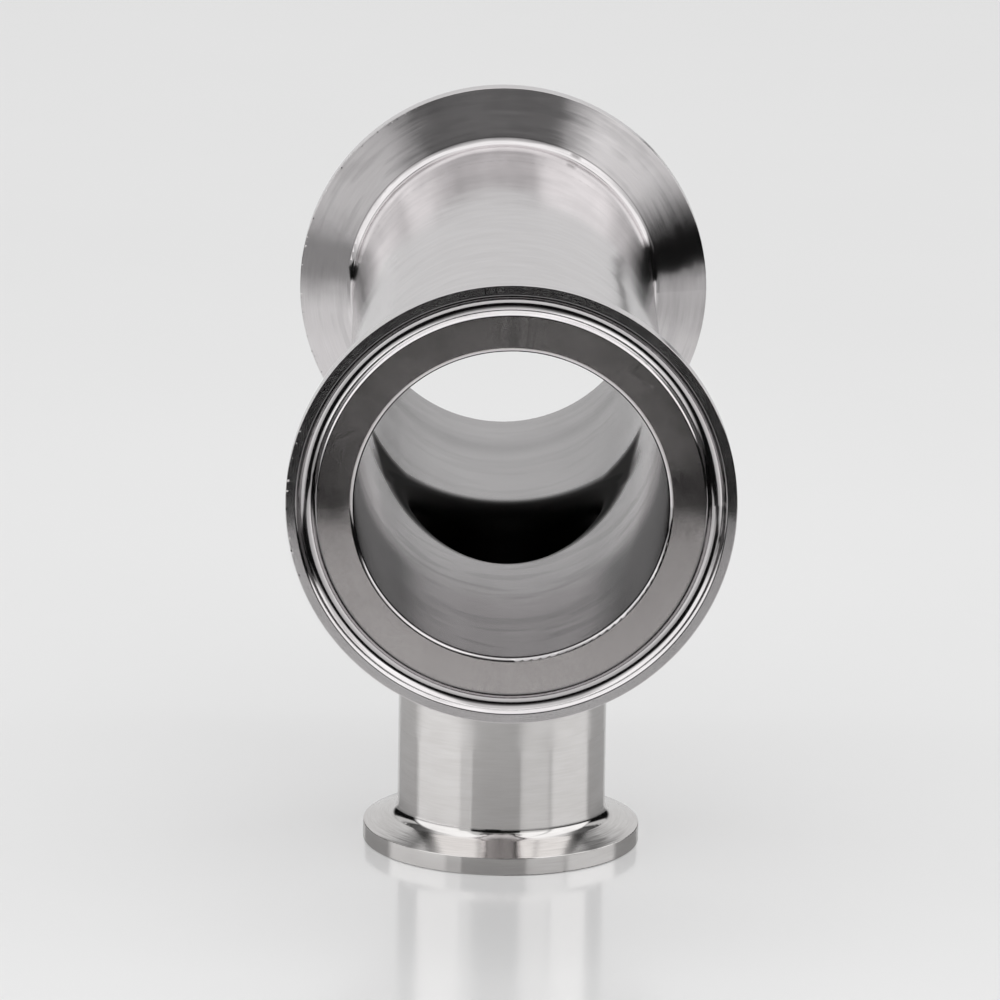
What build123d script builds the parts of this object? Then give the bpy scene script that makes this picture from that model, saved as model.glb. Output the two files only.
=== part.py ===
from build123d import *
import os
from math import radians, tan

os.makedirs("parts", exist_ok=True)

# Sanitary clamp tee, reduced on the branch. Sizes are in millimetres.
# The run lies along Y and the branch points down, with its gasket face on Z = 0.

# Tubes
run_tube_od = 57.0
branch_tube_od = 38.0
tube_wall = 1.5

# Overall lengths
run_length = 172.0  # from one run gasket face to the other
branch_height = 84.5  # from the branch gasket face to the run's axis

# Branch outlet, pulled out of the run tube's wall
outlet_radius = 4.0  # outer crotch, and the wall's thickness more on the inside

# Clamp ferrules
run_flange_width = 10.25  # from the neck out to the rim
branch_flange_width = 6.25
ferrule_length = 21.5  # from the gasket face to the weld
rim_thickness = 3.2
back_angle = 20.0  # slope of the back that the clamp ring grips, in degrees
neck_radius = 2.0  # fillet where the back runs into the neck
rim_edge_radius = 0.15
bore_edge_radius = 0.8

# Gasket groove, the same section on every ferrule
groove_inset = 3.5  # from the rim to the middle of the groove
groove_radius = 1.6
groove_lip_radius = 0.25

# Places worked out from the sizes above
run_body_length = run_length - 2 * ferrule_length
outlet_length = branch_height - ferrule_length
run_bore_radius = run_tube_od / 2 - tube_wall
branch_bore_radius = branch_tube_od / 2 - tube_wall
run_plane = Plane((0, 0, branch_height), x_dir=(1, 0, 0), z_dir=(0, 1, 0))
run_axis = Axis(run_plane.origin, run_plane.z_dir)
branch_weld_plane = Plane.XY.offset(ferrule_length)


def ferrule_section(tube_od, flange_width):
    """Half of a ferrule's section: X is the radius and Y the distance behind the gasket face."""
    neck = tube_od / 2
    bore = neck - tube_wall
    rim = neck + flange_width
    cone_height = flange_width * tan(radians(back_angle))
    corners = [
        (bore, 0),
        (rim, 0),
        (rim, rim_thickness),
        (neck, rim_thickness + cone_height),
        (neck, ferrule_length),
        (bore, ferrule_length),
    ]
    corner_radii = [bore_edge_radius, rim_edge_radius, rim_edge_radius, neck_radius, 0, 0]
    with BuildSketch() as section:
        with BuildLine():
            FilletPolyline(*corners, radius=corner_radii, close=True)
        make_face()
        groove_middle = (rim - groove_inset, 0)
        with Locations(groove_middle):
            Circle(groove_radius, mode=Mode.SUBTRACT)
        lips = section.vertices().sort_by_distance((*groove_middle, 0))[:2]
        fillet(lips, radius=groove_lip_radius)
    return section.sketch


run_section = ferrule_section(run_tube_od, run_flange_width)
branch_section = ferrule_section(branch_tube_od, branch_flange_width)

# Run ferrules, turned, each with its neck towards the middle of the tee
with BuildPart() as run_ferrule_front:
    with BuildSketch(Plane((0, -run_length / 2, branch_height), x_dir=(1, 0, 0), z_dir=(0, 0, 1))):
        add(run_section)
    revolve(axis=run_axis)
run_ferrule_front.part.label = "run_ferrule_front"

with BuildPart() as run_ferrule_rear:
    with BuildSketch(Plane((0, run_length / 2, branch_height), x_dir=(1, 0, 0), z_dir=(0, 0, -1))):
        add(run_section)
    revolve(axis=run_axis)
run_ferrule_rear.part.label = "run_ferrule_rear"

# Branch ferrule, turned, gasket face down
with BuildPart() as branch_ferrule:
    with BuildSketch(Plane.XZ):
        add(branch_section)
    revolve(axis=Axis.Z)
branch_ferrule.part.label = "branch_ferrule"

# Tee body: the run tube with the outlet pulled from it, one wall thickness all through
with BuildPart() as tee_body:
    with BuildSketch(run_plane):
        Circle(run_tube_od / 2)
    extrude(amount=run_body_length / 2, both=True)
    with BuildSketch(branch_weld_plane):
        Circle(branch_tube_od / 2)
    extrude(amount=outlet_length)
    outer_crotch = tee_body.edges().filter_by(GeomType.BSPLINE)
    fillet(outer_crotch, radius=outlet_radius)
    with BuildSketch(run_plane):
        Circle(run_bore_radius)
    extrude(amount=run_body_length / 2, both=True, mode=Mode.SUBTRACT)
    with BuildSketch(branch_weld_plane):
        Circle(branch_bore_radius)
    extrude(amount=outlet_length, mode=Mode.SUBTRACT)
    inner_crotch = tee_body.edges(Select.LAST).filter_by(GeomType.BSPLINE)
    fillet(inner_crotch, radius=outlet_radius + tube_wall)
tee_body.part.label = "tee_body"

export_step(run_ferrule_front.part, "parts/run_ferrule_front.step")
export_step(run_ferrule_rear.part, "parts/run_ferrule_rear.step")
export_step(branch_ferrule.part, "parts/branch_ferrule.step")
export_step(tee_body.part, "parts/tee_body.step")
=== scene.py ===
from math import cos, radians, sin

import bpy
from mathutils import Matrix, Vector


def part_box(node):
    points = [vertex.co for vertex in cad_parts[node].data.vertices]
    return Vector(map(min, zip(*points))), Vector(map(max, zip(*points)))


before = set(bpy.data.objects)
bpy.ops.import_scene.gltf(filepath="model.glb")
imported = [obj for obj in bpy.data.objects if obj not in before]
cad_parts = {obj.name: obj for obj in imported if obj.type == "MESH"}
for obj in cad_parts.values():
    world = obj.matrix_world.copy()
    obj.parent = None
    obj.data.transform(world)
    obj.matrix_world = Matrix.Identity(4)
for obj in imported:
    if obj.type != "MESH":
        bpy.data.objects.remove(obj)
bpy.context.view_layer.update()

# All lengths are in metres. The run lies along Y and the branch stands on Z = 0.
MM = 0.001

# Places on the fitting, read from the frame
run_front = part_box("run_ferrule_front")[0].y
run_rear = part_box("run_ferrule_rear")[1].y
run_axis_z = sum(corner.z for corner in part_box("run_ferrule_front")) / 2
run_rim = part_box("run_ferrule_front")[1].x
branch_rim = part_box("branch_ferrule")[1].x
run_axis_point = Vector((0, 0, run_axis_z))
branch_axis_point = Vector((0, 0, 0))

# Sizes that tell the zones of the finish apart
tube_wall = 1.5 * MM
run_bore = 27.0 * MM
branch_bore = 17.5 * MM
rim_thickness = 3.2 * MM
groove_inset = 3.5 * MM
groove_reach = 1.85 * MM  # from the groove's middle to where its lips meet the face

# Camera, solved from the photograph's ellipses
sensor_width = 36  # in millimetres, like the lens
camera_lens = 302.04
camera_distance = 1.52532
camera_elevation = radians(14.267)
camera_heading = radians(0.663)  # from +Y towards +X
camera_roll = radians(0.829)
camera_target = Vector((-0.99 * MM, 0, 63.65 * MM))

# Below, a pair of numbers is where something starts and where it is full, unless it says otherwise. Four
# are where it starts, is full, is full no longer and ends. Three are from where, to where and how soft.

# The studio as the metal mirrors it. Strengths are linear, with 1 for white. Directions are in degrees,
# with azimuth 0 in front and growing to the right. A rise is a start, an end and the strength gained.
ceiling_rises = ((12, 27, 0.13), (30, 44, 0.45), (46, 54, 0.12), (55, 68, 0.35))
panels = (  # each four azimuths and the rises between them
    ((-112, -102, -30, -15), ((-12, -3, 0.45), (-3, 6, 0.15))),
    ((-112, -102, -50, -41), ((-5, 9, 1.1),)),
    ((-112, -102, -43, -25), ((14, 28, 1.1),)),
    ((9, 29, 50, 62), ((-2.5, 14, 0.75), (16, 27, 0.41))),
    ((50, 62, 106, 116), ((5, 10, 1.12),)),
)
rear_gap_span = (108, 116, 157, 163)  # azimuths, to both sides, between the panels and the backdrop
rear_gap_light = (17, 22, 28, 36)  # elevations of the light that stands low in the gap
rear_gap_strength = 0.6
rear_gap_ceiling = 0.2  # share of the ceiling's light that is left over the gap
rear_gap_ceiling_fall = (56, 44)
backdrop_side = (155, 163)
backdrop_top = (45, 33)
backdrop_strength = 0.66
room_strength = 0.004
background_strength = 0.82

# A low dark sheet past the table's edge: a painted reflection of the dark room
dark_sheet_y = -0.42
dark_sheet_left = -0.27
dark_sheet_right = 0.155
dark_sheet_top = 0.17
dark_sheet_soft = 0.012
dark_sheet_top_soft = 0.03
dark_sheet_margin = 0.01  # from the end of its soft edges to the edge of its sheet

# Floor, with lengths along x and y from the branch's axis
floor_reach = 12.0
floor_drop = 0.05 * MM  # keeps it clear of the gasket face that stands on it
floor_front = (0.15, 0)  # along y, where the tones of the front start

# The floor as the metal mirrors it
table_edge_y = -0.405  # in front of the fitting, past which only the dark room is mirrored
table_edge_skew = 0.104  # how far the edge turns towards the fitting with each metre of x
table_edge_step = 0.014  # how much nearer the edge lies at the left
table_edge_turn = (0.03, -0.03)  # along x, where it steps nearer
table_edge_soft = (-0.002, 0.006)
table_left = (-0.47, -0.37)  # along x, left of which the table goes on
table_right = (0.59, 0.65)  # along x, where the table ends
left_fade = (-0.18, -0.38)  # along x, where the board fades into the room
left_faded = 0.58
right_fade = (0.29, 0.42)
right_faded = 0.45
left_fade_weaker = (3.5, 1.2)  # distances between which it grows from its least share to full
left_fade_least = 0.5
left_end = (-0.5, -0.6)  # along x, where the board ends beside the fitting
left_end_y = (-0.5, 0.5, 0.08)
floor_left = 0.94  # albedo at the left, at the right and far out at the right: painted light and shade on the board that the metal mirrors
floor_right = 0.8
floor_far_right = 0.5
floor_right_start = (0, 0.06)
floor_far_right_start = (0.08, 0.24)
floor_shade = 0.75  # share of the albedo that is left close to the base: a painted shadow
floor_shade_reach = (0.045, 0.03)
floor_gloss = 0.13  # share of extra gloss on the board
floor_gloss_roughness = 0.1

# The floor as the camera sees it
floor_seen = 0.9
floor_clouds = 0.015
floor_cloud_scale = 9
floor_roughness = 0.13
floor_ior = 1.55
floor_lift = 0.085  # light added to the board, and then more close to the base and less far behind
floor_lift_near = 0.05
floor_near = (0.5, 0.05)
floor_lift_behind = -0.03
floor_behind = (0.2, 1.2)

# Zones of the finish. A depth is taken from a ferrule's gasket face.
face_depth = (0.06 * MM, 0.02 * MM)
lip_edge_soft = 0.05 * MM
back_end = 8 * MM  # depth by which the back has run into the neck
back_soft = 0.1 * MM
back_past_neck = (0.3 * MM, 1.0 * MM)
inside_past_bore = (0.3 * MM, 0.1 * MM)
edge_before_rim = (-0.5 * MM, -0.3 * MM)
front_edge_depth = (0.5 * MM, 0.3 * MM)
back_edge_depth = (rim_thickness - 0.4 * MM, rim_thickness + 0.2 * MM, 0.1 * MM)
run_past_neck = (2 * MM, 0.5 * MM)  # where the outlet has run into the run tube
inside_facing = (0.1, -0.1)  # how far the normal faces away from the axes
lower_half = (0.1, -0.1)  # sines

# Reflectance of the steel: polished, on the satin faces and in the bores, where it is darker towards the
# front. The bores' lighter far sides are painted light, and the outlet's nearly black colour is painted
# shade.
polished = ((0.75, 0.721, 0.727, 1), (0.84, 0.815, 0.822, 1))
polished_branch = ((0.75, 0.728, 0.716, 1), (0.84, 0.822, 0.812, 1))
satin = ((0.78, 0.735, 0.727, 1), (0.83, 0.785, 0.777, 1))
inside_far = (0.56, 0.543, 0.546, 1)
far_bore_side_light = (0.86, 0.835, 0.84, 1)
inside_near = (0.405, 0.378, 0.387, 1)
outlet_shade_colour = (0.07, 0.068, 0.067, 1)
worn = (0.03, 0.022, 0.02, 1)
mark_and_shade_grey = 0.04  # what dark marks, painted shade and painted reflections are mixed towards
smear_grey = 0.03
lip_shade_grey = 0.03
haze_grey = 0.05

# Marks on the steel: noise that is drawn out round the axis, each with its width and how often it changes
# on the way round
grain_marks = (0.012 * MM, 300)  # far finer than the camera sees, so that it only blurs
ferrule_fine_marks = (0.16 * MM, 4)
ferrule_broad_marks = (1.6 * MM, 2.4)
tube_fine_marks = (0.25 * MM, 4)
tube_broad_marks = (3 * MM, 3)
smear_marks = (4 * MM, 1.6)
ferrule_broad_share = 0.3  # of the broad marks beside the fine ones, in the slope
tube_broad_share = 0.4
ferrule_tint_share = 0.4  # the same in the tint
tube_tint_share = 0.5
inside_grain_share = 0.75  # of the grain beside both, in the bores
tint_range = (0.3, 0.7)  # of the marks' noise, from the darker to the lighter tint
steel_anisotropy = 0.8
steel_rotation = 0.25  # in turns, so that the steel blurs across its marks

# How far the marks tilt the normal on each zone, and each zone's roughness
land_slope = 0.46
satin_slope = 0.64
back_slope = 0.12
ferrule_inside_slope = 0.35
plain_slope = 0.03
tube_slope = 0.036
tube_inside_slope = 0.3
branch_slope = 0.3  # round the branch, by a grain of its own, so that what it mirrors has soft edges
branch_grain_scale = 20000
satin_roughness = 0.1
back_roughness = 0.12
inside_roughness = 0.22
plain_roughness = 0.09
tube_roughness = 0.1
outlet_roughness = 0.55

# Clouds in the polish, which vary its slope and roughness
ferrule_cloud_scale = 140
ferrule_cloud_slopes = (0.85, 1.15)  # the least and the most of its own slope
ferrule_cloud_roughness = 0.02
tube_cloud_scale = 70
tube_cloud_slopes = (0.4, 1.6)
tube_cloud_roughness = 0.03

# Soft waves in the polish, each with how fine they are and how far they tilt the normal
ferrule_wave_scale = 150
ferrule_wave = 0.012
back_wave = 0.03
smudge_scale = 300
smudge_wave = 0.022
smudge_range = (0.42, 0.62)
tube_wave_scale = 60
tube_wave = 0.06
tube_inside_wave = 0.02

# The bores. The sides are told by the cosine round the axis, to both sides alike. The lighter far sides are
# painted light, and the shaded sides near the front are painted shade.
far_side = (0.5, 0.88)
shaded_side = (0.5, 0.74)
shaded_side_dark = 0.92
near_bore = (-32 * MM, -54 * MM)  # along the run
shaded_bore = (-38 * MM, -54 * MM)
smeared_bore = (0, -50 * MM)
smear_range = (0.46, 0.62)
near_smears = 0.24
far_smears = 0.06
near_weld = (19 * MM, 26 * MM, 4 * MM)  # depth behind the gasket face
near_weld_dark = 0.1
far_weld = (19 * MM, 25 * MM, 6 * MM)
far_weld_dark = 0.29
polish_ring = (51.5 * MM, 53.5 * MM, 0.6 * MM)  # along the run
polish_ring_dark = 0.08

# The outlet's painted shade as the run's bore shows it
outlet_start = (6 * MM, 2.5 * MM)  # past the branch's bore
far_outlet_start = (8 * MM, 3.6 * MM)
far_outlet_y = (-10 * MM, 4 * MM)
wing_inner = (15 * MM, 18 * MM)  # across the run
wing_outer = (23.7 * MM, 22 * MM)
wing_lean = 0.12  # how far a wing spreads for the length it runs
wing_near = (-8 * MM, -2 * MM)  # along the run
wing_far = (18 * MM, 12 * MM)
wing_shade = 0.92

# Wear and smudges, and painted shade and reflections
lip_painted_shade = 0.92  # painted shade on the groove's lips that face down
inner_lip_width = 0.55 * MM
outer_lip_width = 0.75 * MM
lip_soft = 0.25 * MM
lip_depth = (1.5 * MM, 1.1 * MM)
lip_turn = 0.4  # sine by which a lip faces up or down in full
nick_fineness = (60, 900)  # how fine they are round the rim, and along the axis
nick_scale = 1600
nick_range = (0.59, 0.66)
nick_slope = 1.5
front_nicks = (-0.9, -0.98)  # cosines, towards the left
rear_nicks = (-0.3, -0.6)
branch_nicks = (-0.9, -1)
turning_line_place = (1.4 * MM, 1.55 * MM, 0.12 * MM)  # past the neck
turning_line_top = (0, 0.5)  # sines
turning_line_dark = 0.5
scuff_place = (0.75 * MM, 1.35 * MM, 0.25 * MM)  # past the neck
scuff_cosines = (0.42, 0.48, 0.02)
scuff_top = (0, 0.2)  # sines
scuff_dark = 0.55
streak_share = 0.4  # of the clouds beside the broad marks
streak_range = (0.44, 0.64)
streak_dark = 0.17
reflection_middle = (0.18, 0.08)  # cosines of the painted dark reflections on the branch ferrule's back
reflection_sides = (0.62, 0.71, 0.05)
reflection_front = (-0.45, -0.6)  # sines, towards the front
reflection_dark = 0.45
haze_range = (0.46, 0.66)
haze_y = (20 * MM, 45 * MM)
haze_dark = 0.14
brushed_range = (0.55, 0.68)
brushed_y = (30 * MM, 50 * MM)
brushed_dark = 0.12


class Graph:
    """Adds nodes to a shader tree. An input is a number, a colour, a vector or another node's output."""

    def __init__(self, tree):
        self.tree = tree
        tree.nodes.clear()

    def feed(self, socket, value):
        if isinstance(value, bpy.types.NodeSocket):
            self.tree.links.new(value, socket)
        else:
            socket.default_value = value

    def add(self, kind, inputs=None, **settings):
        node = self.tree.nodes.new("ShaderNode" + kind)
        for name, value in settings.items():
            setattr(node, name, value)
        for name, value in (inputs or {}).items():
            socket = next(s for s in node.inputs if s.name == name and s.enabled)
            self.feed(socket, value)
        return node

    def math(self, operation, *values):
        node = self.add("Math", operation=operation)
        for socket, value in zip(node.inputs, values):
            self.feed(socket, value)
        return node.outputs[0]

    def repeated(self, operation, values):
        result = values[0]
        for value in values[1:]:
            result = self.math(operation, result, value)
        return result

    def times(self, *values):
        return self.repeated("MULTIPLY", values)

    def plus(self, *values):
        return self.repeated("ADD", values)

    def most(self, *values):
        return self.repeated("MAXIMUM", values)

    def minus(self, a, b):
        return self.math("SUBTRACT", a, b)

    def size(self, value):
        return self.math("ABSOLUTE", value)

    def step(self, value, start, end):
        """0 before start and 1 past end, smooth in between. With end below start it falls instead."""
        places = {"Value": value, "From Min": start, "From Max": end}
        return self.add("MapRange", places, interpolation_type="SMOOTHSTEP").outputs[0]

    def span(self, value, start, full, full_end, end):
        return self.times(self.step(value, start, full), self.step(value, end, full_end))

    def within(self, value, low, high, soft):
        """1 from low to high and 0 outside, smooth over soft on each side."""
        return self.span(value, low - soft, low + soft, high - soft, high + soft)

    def climb(self, value, rises):
        """The sum of smooth rises, each a start, an end and the height gained in between."""
        return self.plus(*(self.times(self.step(value, start, end), gain) for start, end, gain in rises))

    def scaled(self, value, low, high):
        """Turns 0 to 1 into low to high."""
        return self.add("MapRange", {"Value": value, "To Min": low, "To Max": high}).outputs[0]

    def mix(self, factor, a, b):
        return self.add("Mix", {"Factor": factor, "A": a, "B": b}, data_type="FLOAT").outputs[0]

    def mix_vector(self, factor, a, b):
        return self.add("Mix", {"Factor": factor, "A": a, "B": b}, data_type="VECTOR").outputs[1]

    def mix_colour(self, factor, a, b):
        colours = {"Factor": factor, "A": a, "B": b}
        return self.add("Mix", colours, data_type="RGBA").outputs[2]

    def mix_shader(self, factor, a, b):
        node = self.add("MixShader")
        for socket, value in zip(node.inputs, (factor, a, b)):
            self.feed(socket, value)
        return node.outputs[0]

    def zoned(self, value, *zones):
        """The value, replaced on each zone in turn. A zone is how far a place lies on it and its value."""
        for amount, zone_value in zones:
            value = self.mix(amount, value, zone_value)
        return value

    def vector(self, operation, *values):
        node = self.add("VectorMath", operation=operation)
        for socket, value in zip(node.inputs, values):
            self.feed(socket, value)
        return next(s for s in node.outputs if s.enabled)

    def split(self, vector):
        return self.add("SeparateXYZ", {"Vector": vector}).outputs

    def join(self, x, y, z):
        return self.add("CombineXYZ", {"X": x, "Y": y, "Z": z}).outputs[0]

    def leaned(self, vector, direction, amount):
        """The vector plus that much of the direction."""
        return self.vector("MULTIPLY_ADD", direction, self.join(amount, amount, amount), vector)

    def noise(self, vector, scale=1.0, detail=2.0, roughness=0.5, output="Fac"):
        inputs = {"Vector": vector, "Scale": scale, "Detail": detail, "Roughness": roughness}
        return self.add("TexNoise", inputs).outputs[output]

    def glow(self, strength):
        return self.add("Emission", {"Color": grey(1), "Strength": strength}).outputs[0]


def grey(strength):
    return (strength, strength, strength, 1)


def start_material(name):
    material = bpy.data.materials.new(name)
    material.use_nodes = True
    return material, Graph(material.node_tree)


def add_camera():
    forward = Vector((
        sin(camera_heading) * cos(camera_elevation),
        cos(camera_heading) * cos(camera_elevation),
        -sin(camera_elevation),
    ))
    level_right = Vector((cos(camera_heading), -sin(camera_heading), 0))
    level_up = level_right.cross(forward)
    right = cos(camera_roll) * level_right + sin(camera_roll) * level_up
    up = cos(camera_roll) * level_up - sin(camera_roll) * level_right
    camera = bpy.data.objects.new("camera", bpy.data.cameras.new("camera"))
    camera.data.sensor_width = sensor_width
    camera.data.lens = camera_lens
    turn = Matrix((right, up, -forward)).transposed()
    camera.matrix_world = Matrix.LocRotScale(camera_target - forward * camera_distance, turn, None)
    bpy.context.scene.collection.objects.link(camera)
    bpy.context.scene.camera = camera


def add_studio():
    """A pale background for the camera. The metal mirrors a ceiling that grows brighter overhead, panels at
    both sides, the backdrop, and the dark room in between."""
    world = bpy.data.worlds.new("studio")
    world.use_nodes = True
    bpy.context.scene.world = world
    g = Graph(world.node_tree)
    x, y, z = g.split(g.add("TexCoord").outputs["Generated"])
    azimuth = g.math("DEGREES", g.math("ARCTAN2", x, g.times(y, -1)))
    elevation = g.math("DEGREES", g.math("ARCSINE", z))

    turned = g.size(azimuth)
    gap = g.span(turned, *rear_gap_span)
    dark_gap = g.times(gap, g.step(elevation, *rear_gap_ceiling_fall))
    ceiling = g.times(g.climb(elevation, ceiling_rises), g.scaled(dark_gap, 1, rear_gap_ceiling))
    strength = g.plus(room_strength, ceiling)
    for span, rises in panels:
        strength = g.most(strength, g.times(g.span(azimuth, *span), g.climb(elevation, rises)))
    strength = g.most(strength, g.times(gap, g.span(elevation, *rear_gap_light), rear_gap_strength))
    behind = g.times(g.step(turned, *backdrop_side), g.step(elevation, *backdrop_top))
    strength = g.most(strength, g.times(behind, backdrop_strength))

    mirrored = g.add("Background", {"Color": grey(1), "Strength": strength}).outputs[0]
    seen = g.add("Background", {"Color": grey(1), "Strength": background_strength}).outputs[0]
    camera_ray = g.add("LightPath").outputs["Is Camera Ray"]
    g.add("OutputWorld", {"Surface": g.mix_shader(camera_ray, mirrored, seen)})


def add_sheet(name, corners, material):
    mesh = bpy.data.meshes.new(name)
    mesh.from_pydata(corners, [], [(0, 1, 2, 3)])
    mesh.materials.append(material)
    sheet = bpy.data.objects.new(name, mesh)
    bpy.context.scene.collection.objects.link(sheet)
    return sheet


def add_dark_reflection_sheet():
    """A low dark sheet behind the table's front edge: a painted reflection of the dark room. Only the metal
    and the board's gloss see it.
    """
    material, g = start_material("dark_reflection_sheet")
    x, y, z = g.split(g.add("TexCoord").outputs["Object"])
    body = g.times(
        g.within(x, dark_sheet_left, dark_sheet_right, dark_sheet_soft),
        g.step(z, dark_sheet_top + dark_sheet_top_soft, dark_sheet_top - dark_sheet_top_soft),
    )
    clear = g.add("BsdfTransparent").outputs[0]
    g.add("OutputMaterial", {"Surface": g.mix_shader(body, clear, g.glow(room_strength))})
    left = dark_sheet_left - dark_sheet_soft - dark_sheet_margin
    right = dark_sheet_right + dark_sheet_soft + dark_sheet_margin
    top = dark_sheet_top + dark_sheet_top_soft + dark_sheet_margin
    corners = [(left, dark_sheet_y, 0), (right, dark_sheet_y, 0), (right, dark_sheet_y, top), (left, dark_sheet_y, top)]
    dark_sheet = add_sheet("dark_reflection_sheet", corners, material)
    dark_sheet.visible_camera = dark_sheet.visible_diffuse = dark_sheet.visible_shadow = False


def floor_material():
    """Pale glossy board. In the metal it ends at the table's front edge, and the dark room follows."""
    material, g = start_material("pale_floor")
    place = g.add("TexCoord").outputs["Object"]
    x, y, z = g.split(place)
    rays = g.add("LightPath").outputs
    clouds = g.noise(place, scale=floor_cloud_scale, detail=3)
    distance = g.vector("LENGTH", place)
    in_front = g.step(y, *floor_front)

    seen = g.plus(floor_seen, g.scaled(clouds, -floor_clouds, floor_clouds))
    # The board as the metal mirrors it carries painted light and shade: lighter at the left, darker far out
    # at the right in front, with a painted shadow close to the base
    mirrored_tone = g.zoned(
        floor_left,
        (g.step(x, *floor_right_start), floor_right),
        (g.times(g.step(x, *floor_far_right_start), in_front), floor_far_right),
    )
    mirrored_tone = g.times(mirrored_tone, g.scaled(g.step(distance, *floor_shade_reach), 1, floor_shade))
    tone = g.mix(rays["Is Camera Ray"], mirrored_tone, seen)
    board = g.add("BsdfPrincipled", {
        "Base Color": g.join(tone, tone, tone),
        "Roughness": floor_roughness,
        "IOR": floor_ior,
    }).outputs[0]
    gloss = g.add("BsdfAnisotropic", {"Color": grey(1), "Roughness": floor_gloss_roughness}).outputs[0]
    shiny = g.mix_shader(g.times(rays["Is Glossy Ray"], floor_gloss), board, gloss)

    nearer = g.times(g.step(x, *table_edge_turn), table_edge_step)
    edge = g.plus(g.times(x, table_edge_skew), table_edge_y, nearer)
    past_edge = g.times(g.step(g.minus(edge, y), *table_edge_soft), g.step(x, *table_left))
    near = g.scaled(g.step(distance, *left_fade_weaker), left_fade_least, 1)
    hidden = g.most(
        past_edge,
        g.step(x, *table_right),
        g.times(g.step(x, *left_fade), in_front, near, left_faded),
        g.times(g.step(x, *right_fade), in_front, right_faded),
        g.times(g.step(x, *left_end), g.within(y, *left_end_y)),
    )
    hidden = g.times(hidden, rays["Is Glossy Ray"])
    mirrored = g.mix_shader(hidden, shiny, g.glow(room_strength))

    lift = g.plus(
        floor_lift,
        g.times(g.step(distance, *floor_near), floor_lift_near),
        g.times(g.step(y, *floor_behind), floor_lift_behind),
    )
    lit = g.add("AddShader")
    g.feed(lit.inputs[0], mirrored)
    g.feed(lit.inputs[1], g.glow(g.times(rays["Is Camera Ray"], lift)))
    g.add("OutputMaterial", {"Surface": lit.outputs[0]})
    return material


def add_floor():
    turns = ((-1, -1), (1, -1), (1, 1), (-1, 1))
    corners = [(x * floor_reach, y * floor_reach, -floor_drop) for x, y in turns]
    add_sheet("floor", corners, floor_material())


class Turned:
    """Coordinates about a turning axis: the radius, the place along the axis and the way round it."""

    def __init__(self, g, axis, point):
        x, y, z = g.split(g.add("TexCoord").outputs["Object"])
        if axis == "Y":
            across, up, self.along = x, g.minus(z, point.z), y
        else:
            across, up, self.along = x, y, z
        self.g = g
        self.radius = g.math("SQRT", g.plus(g.times(across, across), g.times(up, up)))
        self.cosine = g.math("DIVIDE", across, self.radius)
        self.sine = g.math("DIVIDE", up, self.radius)
        self.beside = g.size(self.cosine)
        back = g.times(self.sine, -1)
        if axis == "Y":
            self.tangent = g.join(back, 0, self.cosine)
            self.outward = g.join(self.cosine, 0, self.sine)
        else:
            self.tangent = g.join(back, self.cosine, 0)
            self.outward = g.join(self.cosine, self.sine, 0)

    def drawn_out(self, width, turns):
        """A place for noise that is drawn out round the axis, with features of that width across it."""
        g = self.g
        profile = g.plus(self.radius, self.along)
        return g.join(
            g.times(self.cosine, turns),
            g.times(self.sine, turns),
            g.math("DIVIDE", profile, width),
        )

    def streaks(self, marks, detail=2.0):
        return self.g.noise(self.drawn_out(*marks), detail=detail)

    def smears(self, amount):
        """How dark the bore's soft smears are."""
        return self.g.times(self.g.step(self.streaks(smear_marks, detail=1), *smear_range), amount)

    # The far bore's colour, with its lighter sides painted light
    def far_bore(self):
        return self.g.mix_colour(self.g.step(self.beside, *far_side), inside_far, far_bore_side_light)


class Ferrule(Turned):
    """A ferrule's coordinates, and how far a place lies on each zone of its finish, from 0 to 1."""

    def __init__(self, g, axis, point, face, inward, rim, bore):
        super().__init__(g, axis, point)
        self.depth = g.times(g.minus(self.along, face), inward)
        self.neck = bore + tube_wall
        self.lips = (rim - groove_inset - groove_reach, rim - groove_inset + groove_reach)
        inner_lip, outer_lip = self.lips

        soft = lip_edge_soft
        at_face = g.step(self.depth, *face_depth)
        self.satin_face = g.times(at_face, g.step(self.radius, inner_lip + soft, inner_lip - soft))
        self.land = g.times(at_face, g.step(self.radius, outer_lip - soft, outer_lip + soft))
        self.past_neck = g.minus(self.radius, self.neck)
        self.behind_rim = g.within(self.depth, rim_thickness, back_end, back_soft)
        self.back = g.times(
            g.within(self.depth, rim_thickness - back_soft, back_end, back_soft),
            g.step(self.past_neck, *back_past_neck),
        )
        self.inside = g.step(g.minus(self.radius, bore), *inside_past_bore)
        at_rim = g.step(g.minus(self.radius, rim), *edge_before_rim)
        front_edge = g.step(self.depth, *front_edge_depth)
        back_edge = g.within(self.depth, *back_edge_depth)
        self.edges = g.times(at_rim, g.most(front_edge, back_edge))


def marked(g, normal, tangent, marks, slope):
    """The normal, tilted to and fro across the tangent by turning or polishing marks."""
    across = g.vector("CROSS_PRODUCT", normal, tangent)
    return g.vector("NORMALIZE", g.leaned(normal, across, g.times(g.minus(marks, 0.5), slope)))


def wavy(g, normal, place, scale, slope):
    """The normal, tilted every way by the soft waves that polishing leaves."""
    noise = g.noise(place, scale=scale, detail=1, output="Color")
    waves = g.vector("SUBTRACT", noise, (0.5, 0.5, 0.5))
    return g.vector("NORMALIZE", g.leaned(normal, waves, slope))


def steel(g, colour, roughness, tangent, normal):
    """A satin metal whose fine marks run along the tangent, so that it blurs across them."""
    bsdf = g.add("BsdfPrincipled", {
        "Base Color": colour,
        "Metallic": 1.0,
        "Roughness": roughness,
        "Anisotropic": steel_anisotropy,
        "Anisotropic Rotation": steel_rotation,
        "Tangent": tangent,
        "Normal": normal,
    })
    g.add("OutputMaterial", {"Surface": bsdf.outputs[0]})


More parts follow.
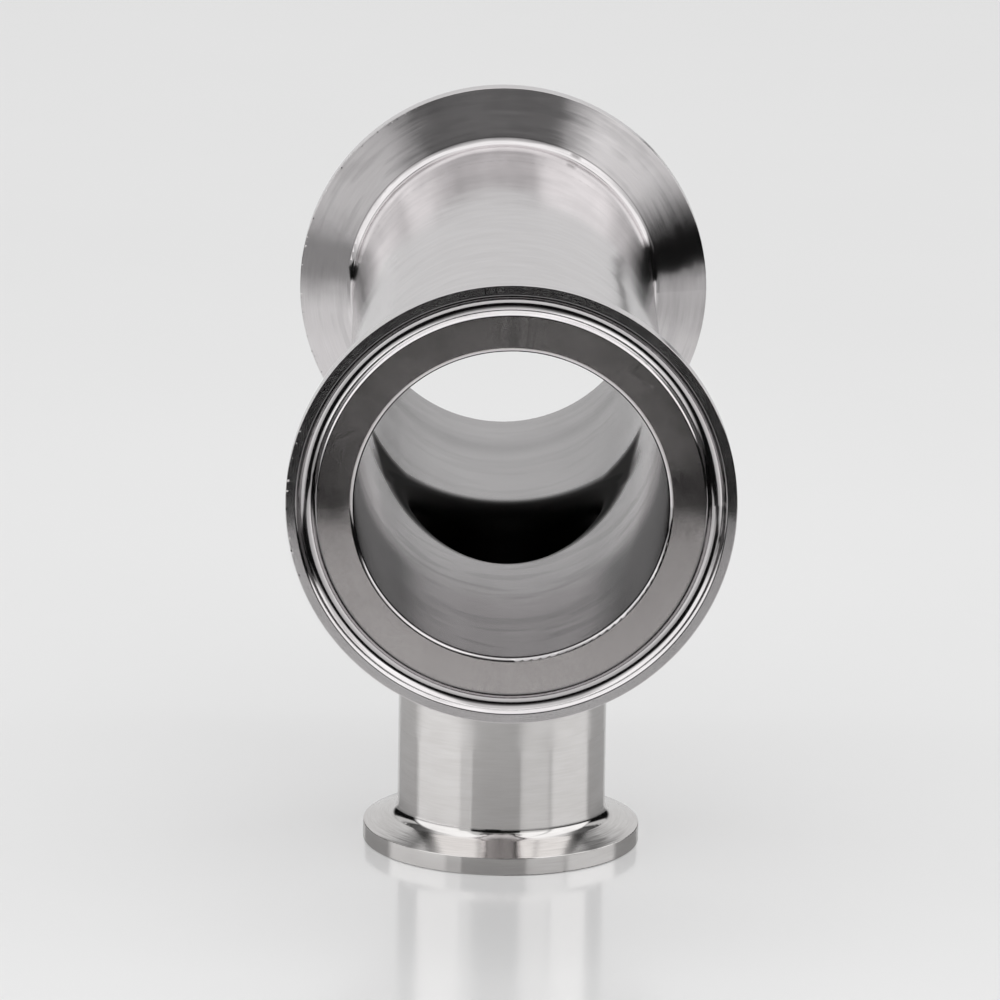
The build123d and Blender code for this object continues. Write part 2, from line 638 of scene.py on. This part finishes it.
def eased_lips(g, ferrule, normal, face_normal):
    """Turns the normal on a groove's lips that face up as if they were eased more. Returns it and how far a
    place lies on a lip that faces down, where the groove's shade is painted."""
    inner, outer = ferrule.lips
    near_face = g.step(ferrule.depth, *lip_depth)
    on_inner = g.within(ferrule.radius, inner, inner + inner_lip_width, lip_soft)
    on_outer = g.within(ferrule.radius, outer - outer_lip_width, outer, lip_soft)
    inner_up = g.step(ferrule.sine, -lip_turn, lip_turn)
    outer_up = g.step(ferrule.sine, lip_turn, -lip_turn)
    lean = g.times(g.minus(g.times(on_inner, inner_up), g.times(on_outer, outer_up)), near_face)
    aim = g.vector("NORMALIZE", g.leaned(face_normal, ferrule.outward, lean))
    eased = g.mix_vector(g.size(lean), normal, aim)
    down = g.plus(g.times(on_inner, g.step(inner_up, 1, 0)), g.times(on_outer, g.step(outer_up, 1, 0)))
    return g.vector("NORMALIZE", eased), g.times(down, near_face)


def back_wear(g, ferrule, broad, clouds):
    """How dark the rear ferrule's back is in its streaks, its turning line and the scuff at its fillet."""
    streaked = g.times(ferrule.back, g.step(g.mix(streak_share, broad, clouds), *streak_range), streak_dark)
    turning_line = g.times(
        g.within(ferrule.past_neck, *turning_line_place),
        ferrule.back,
        g.step(ferrule.sine, *turning_line_top),
        turning_line_dark,
    )
    scuff = g.times(
        g.within(ferrule.cosine, *scuff_cosines),
        g.within(ferrule.past_neck, *scuff_place),
        g.step(ferrule.sine, *scuff_top),
        ferrule.behind_rim,
        scuff_dark,
    )
    return g.most(streaked, turning_line, scuff)


def ferrule_material(name, axis, point, face, inward, rim, bore, nicked_side):
    """Turned stainless steel. face is where the gasket face lies along the axis, and inward is +1 or -1.
    nicked_side is a pair of cosines round the axis, between which the nicks on the rim's edges set in."""
    material, g = start_material(name)
    ferrule = Ferrule(g, axis, point, face, inward, rim, bore)
    on_run, is_rear = axis == "Y", inward < 0
    is_front = on_run and not is_rear
    place = g.add("TexCoord").outputs["Object"]
    fine = ferrule.streaks(ferrule_fine_marks)
    broad = ferrule.streaks(ferrule_broad_marks)
    clouds = g.noise(place, scale=ferrule_cloud_scale)
    flat_face = g.most(ferrule.land, ferrule.satin_face)

    slope = g.zoned(
        plain_slope,
        (ferrule.land, land_slope),
        (ferrule.satin_face, satin_slope),
        (ferrule.back, back_slope),
        (ferrule.inside, ferrule_inside_slope),
    )
    slope = g.times(slope, g.scaled(clouds, *ferrule_cloud_slopes))
    satiny = g.most(flat_face, g.times(ferrule.inside, inside_grain_share))
    grain = ferrule.streaks(grain_marks, detail=1)
    marks = g.mix(satiny, g.mix(ferrule_broad_share, fine, broad), grain)
    roughness = g.zoned(
        plain_roughness,
        (ferrule.back, back_roughness),
        (flat_face, satin_roughness),
        (ferrule.inside, inside_roughness),
    )
    roughness = g.plus(roughness, g.scaled(clouds, -ferrule_cloud_roughness, ferrule_cloud_roughness))

    tint = g.step(g.mix(ferrule_tint_share, fine, broad), *tint_range)
    tints = polished if on_run else polished_branch
    colour = g.mix_colour(ferrule.satin_face, g.mix_colour(tint, *tints), g.mix_colour(tint, *satin))
    if is_front:
        shaded = g.times(g.step(ferrule.beside, *shaded_side), shaded_side_dark)
        weld = g.times(g.within(ferrule.depth, *near_weld), near_weld_dark)
        bore_colour = g.mix_colour(g.most(shaded, weld), inside_near, grey(mark_and_shade_grey))
    else:
        weld = g.times(g.within(ferrule.depth, *far_weld), far_weld_dark)
        bore_colour = g.mix_colour(weld, ferrule.far_bore(), grey(mark_and_shade_grey))
    smears = ferrule.smears(far_smears if is_rear else near_smears)
    bore_colour = g.mix_colour(smears, bore_colour, grey(smear_grey))
    colour = g.mix_colour(ferrule.inside, colour, bore_colour)
    if not on_run:
        # Painted dark reflections on the front of the branch ferrule's back
        painted_reflections = g.most(g.step(ferrule.beside, *reflection_middle), g.within(ferrule.beside, *reflection_sides))
        painted_reflections = g.times(painted_reflections, ferrule.back, g.step(ferrule.sine, *reflection_front), reflection_dark)
        colour = g.mix_colour(painted_reflections, colour, grey(mark_and_shade_grey))
    if is_rear:
        colour = g.mix_colour(back_wear(g, ferrule, broad, clouds), colour, worn)

    normal = g.add("NewGeometry").outputs["Normal"]
    if on_run:
        normal, down = eased_lips(g, ferrule, normal, (0, -inward, 0))
        # Painted shade on the groove's lips that face down
        colour = g.mix_colour(g.times(down, lip_painted_shade), colour, grey(lip_shade_grey))
    round_rim, along_axis = nick_fineness
    nick_place = g.join(
        g.times(ferrule.cosine, round_rim),
        g.times(ferrule.sine, round_rim),
        g.times(ferrule.depth, along_axis),
    )
    nicked = g.step(g.noise(nick_place, detail=1), *nick_range)
    nicks = g.times(ferrule.edges, nicked, g.step(ferrule.cosine, *nicked_side))
    normal = wavy(g, normal, place, nick_scale, g.times(nicks, nick_slope))
    normal = wavy(g, normal, place, ferrule_wave_scale, g.mix(ferrule.back, ferrule_wave, back_wave))
    smudges = g.times(ferrule.back, g.step(broad, *smudge_range), smudge_wave)
    normal = wavy(g, normal, place, smudge_scale, smudges)
    normal = marked(g, normal, ferrule.tangent, marks, slope)
    steel(g, colour, roughness, ferrule.tangent, normal)
    return material


def outlet_painted_shade(g, run, branch):
    """How far the outlet's painted shade lies on the run's bore: round the opening, wider at its far side,
    and up the walls beside it in two wings."""
    past_bore = g.minus(branch.radius, branch_bore)
    far = g.times(g.step(past_bore, *far_outlet_start), g.step(run.along, *far_outlet_y))
    aside = g.times(run.beside, run.radius)
    wings = g.times(
        g.step(aside, *wing_inner),
        g.step(g.plus(aside, g.times(run.along, -wing_lean)), *wing_outer),
        g.step(run.along, *wing_near),
        g.step(run.along, *wing_far),
        g.step(run.sine, *lower_half),
        wing_shade,
    )
    return g.most(g.step(past_bore, *outlet_start), far, wings)


def tube_bore(g, run, outlet):
    """The colour in the body's bore: darker near the front and shaded at its sides, with rings at the
    welds. The lighter far sides are painted light, the shaded sides are painted shade, and the outlet's
    painted shade lies over it all."""
    bore = g.mix_colour(g.step(run.along, *near_bore), run.far_bore(), inside_near)
    shaded = g.times(g.step(run.beside, *shaded_side), g.step(run.along, *shaded_bore), shaded_side_dark)
    welds = g.plus(
        g.times(g.within(g.minus(run_rear, run.along), *far_weld), far_weld_dark),
        g.times(g.within(g.minus(run.along, run_front), *near_weld), near_weld_dark),
    )
    smears = run.smears(g.mix(g.step(run.along, *smeared_bore), far_smears, near_smears))
    ring = g.times(g.within(run.along, *polish_ring), polish_ring_dark)
    bore = g.mix_colour(g.most(shaded, welds, smears, ring), bore, grey(mark_and_shade_grey))
    return g.mix_colour(outlet, bore, outlet_shade_colour)


def tube_material():
    """Polished tube. The polish runs round the run tube above and round the outlet below."""
    material, g = start_material("polished_tube")
    run = Turned(g, "Y", run_axis_point)
    branch = Turned(g, "Z", branch_axis_point)
    place = g.add("TexCoord").outputs["Object"]
    normal = g.add("NewGeometry").outputs["Normal"]
    facing = g.plus(*(g.vector("DOT_PRODUCT", normal, tube.outward) for tube in (run, branch)))
    inside = g.step(facing, *inside_facing)
    # How far the outlet's painted shade lies; the bore is rougher there too
    outlet = outlet_painted_shade(g, run, branch)
    on_run = g.step(g.minus(run.radius, run_bore + tube_wall), *run_past_neck)
    tangent = g.mix_vector(on_run, branch.tangent, run.tangent)
    fine, broad = (
        g.noise(g.mix_vector(on_run, branch.drawn_out(*marks), run.drawn_out(*marks)))
        for marks in (tube_fine_marks, tube_broad_marks)
    )
    clouds = g.noise(place, scale=tube_cloud_scale)

    slope = g.mix(inside, tube_slope, tube_inside_slope)
    slope = g.times(slope, g.scaled(clouds, *tube_cloud_slopes))
    roughness = g.mix(inside, tube_roughness, inside_roughness)
    roughness = g.plus(roughness, g.scaled(clouds, -tube_cloud_roughness, tube_cloud_roughness))
    roughness = g.mix(g.times(inside, outlet), roughness, outlet_roughness)

    tint = g.step(g.mix(tube_tint_share, fine, broad), *tint_range)
    colour = g.mix_colour(on_run, g.mix_colour(tint, *polished_branch), g.mix_colour(tint, *polished))
    haze = g.times(on_run, g.step(clouds, *haze_range), g.step(run.along, *haze_y), haze_dark)
    brushed = g.times(on_run, g.step(broad, *brushed_range), g.step(run.along, *brushed_y), brushed_dark)
    colour = g.mix_colour(g.most(haze, brushed), colour, grey(haze_grey))
    colour = g.mix_colour(inside, colour, tube_bore(g, run, outlet))

    grain = run.streaks(grain_marks, detail=1)
    marks = g.mix(g.times(inside, inside_grain_share), g.mix(tube_broad_share, fine, broad), grain)
    normal = wavy(g, normal, place, tube_wave_scale, g.mix(inside, tube_wave, tube_inside_wave))
    on_branch = g.times(g.step(on_run, 1, 0), g.step(inside, 1, 0))
    sideways = g.minus(g.noise(place, scale=branch_grain_scale, detail=0), 0.5)
    normal = g.leaned(normal, tangent, g.times(sideways, on_branch, branch_slope))
    steel(g, colour, roughness, tangent, marked(g, normal, tangent, marks, slope))
    return material


def finish_metal():
    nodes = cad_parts
    finishes = {
        "tee_body": ("polished_tube", tube_material()),
        "run_ferrule_front": ("turned_ferrule", ferrule_material(
            "run_front_steel", "Y", run_axis_point, run_front, 1, run_rim, run_bore, front_nicks)),
        "run_ferrule_rear": ("turned_ferrule", ferrule_material(
            "run_rear_steel", "Y", run_axis_point, run_rear, -1, run_rim, run_bore, rear_nicks)),
        "branch_ferrule": ("turned_ferrule", ferrule_material(
            "branch_steel", "Z", branch_axis_point, 0, 1, branch_rim, branch_bore, branch_nicks)),
    }
    for name, (slot, material) in finishes.items():
        for material_slot in nodes[name].material_slots:
            material_slot.material = material


add_camera()
add_studio()
add_dark_reflection_sheet()
add_floor()
finish_metal()

scene = bpy.context.scene
scene.view_settings.view_transform = "Standard"
scene.cycles.glossy_bounces = 8  # the bores mirror themselves many times
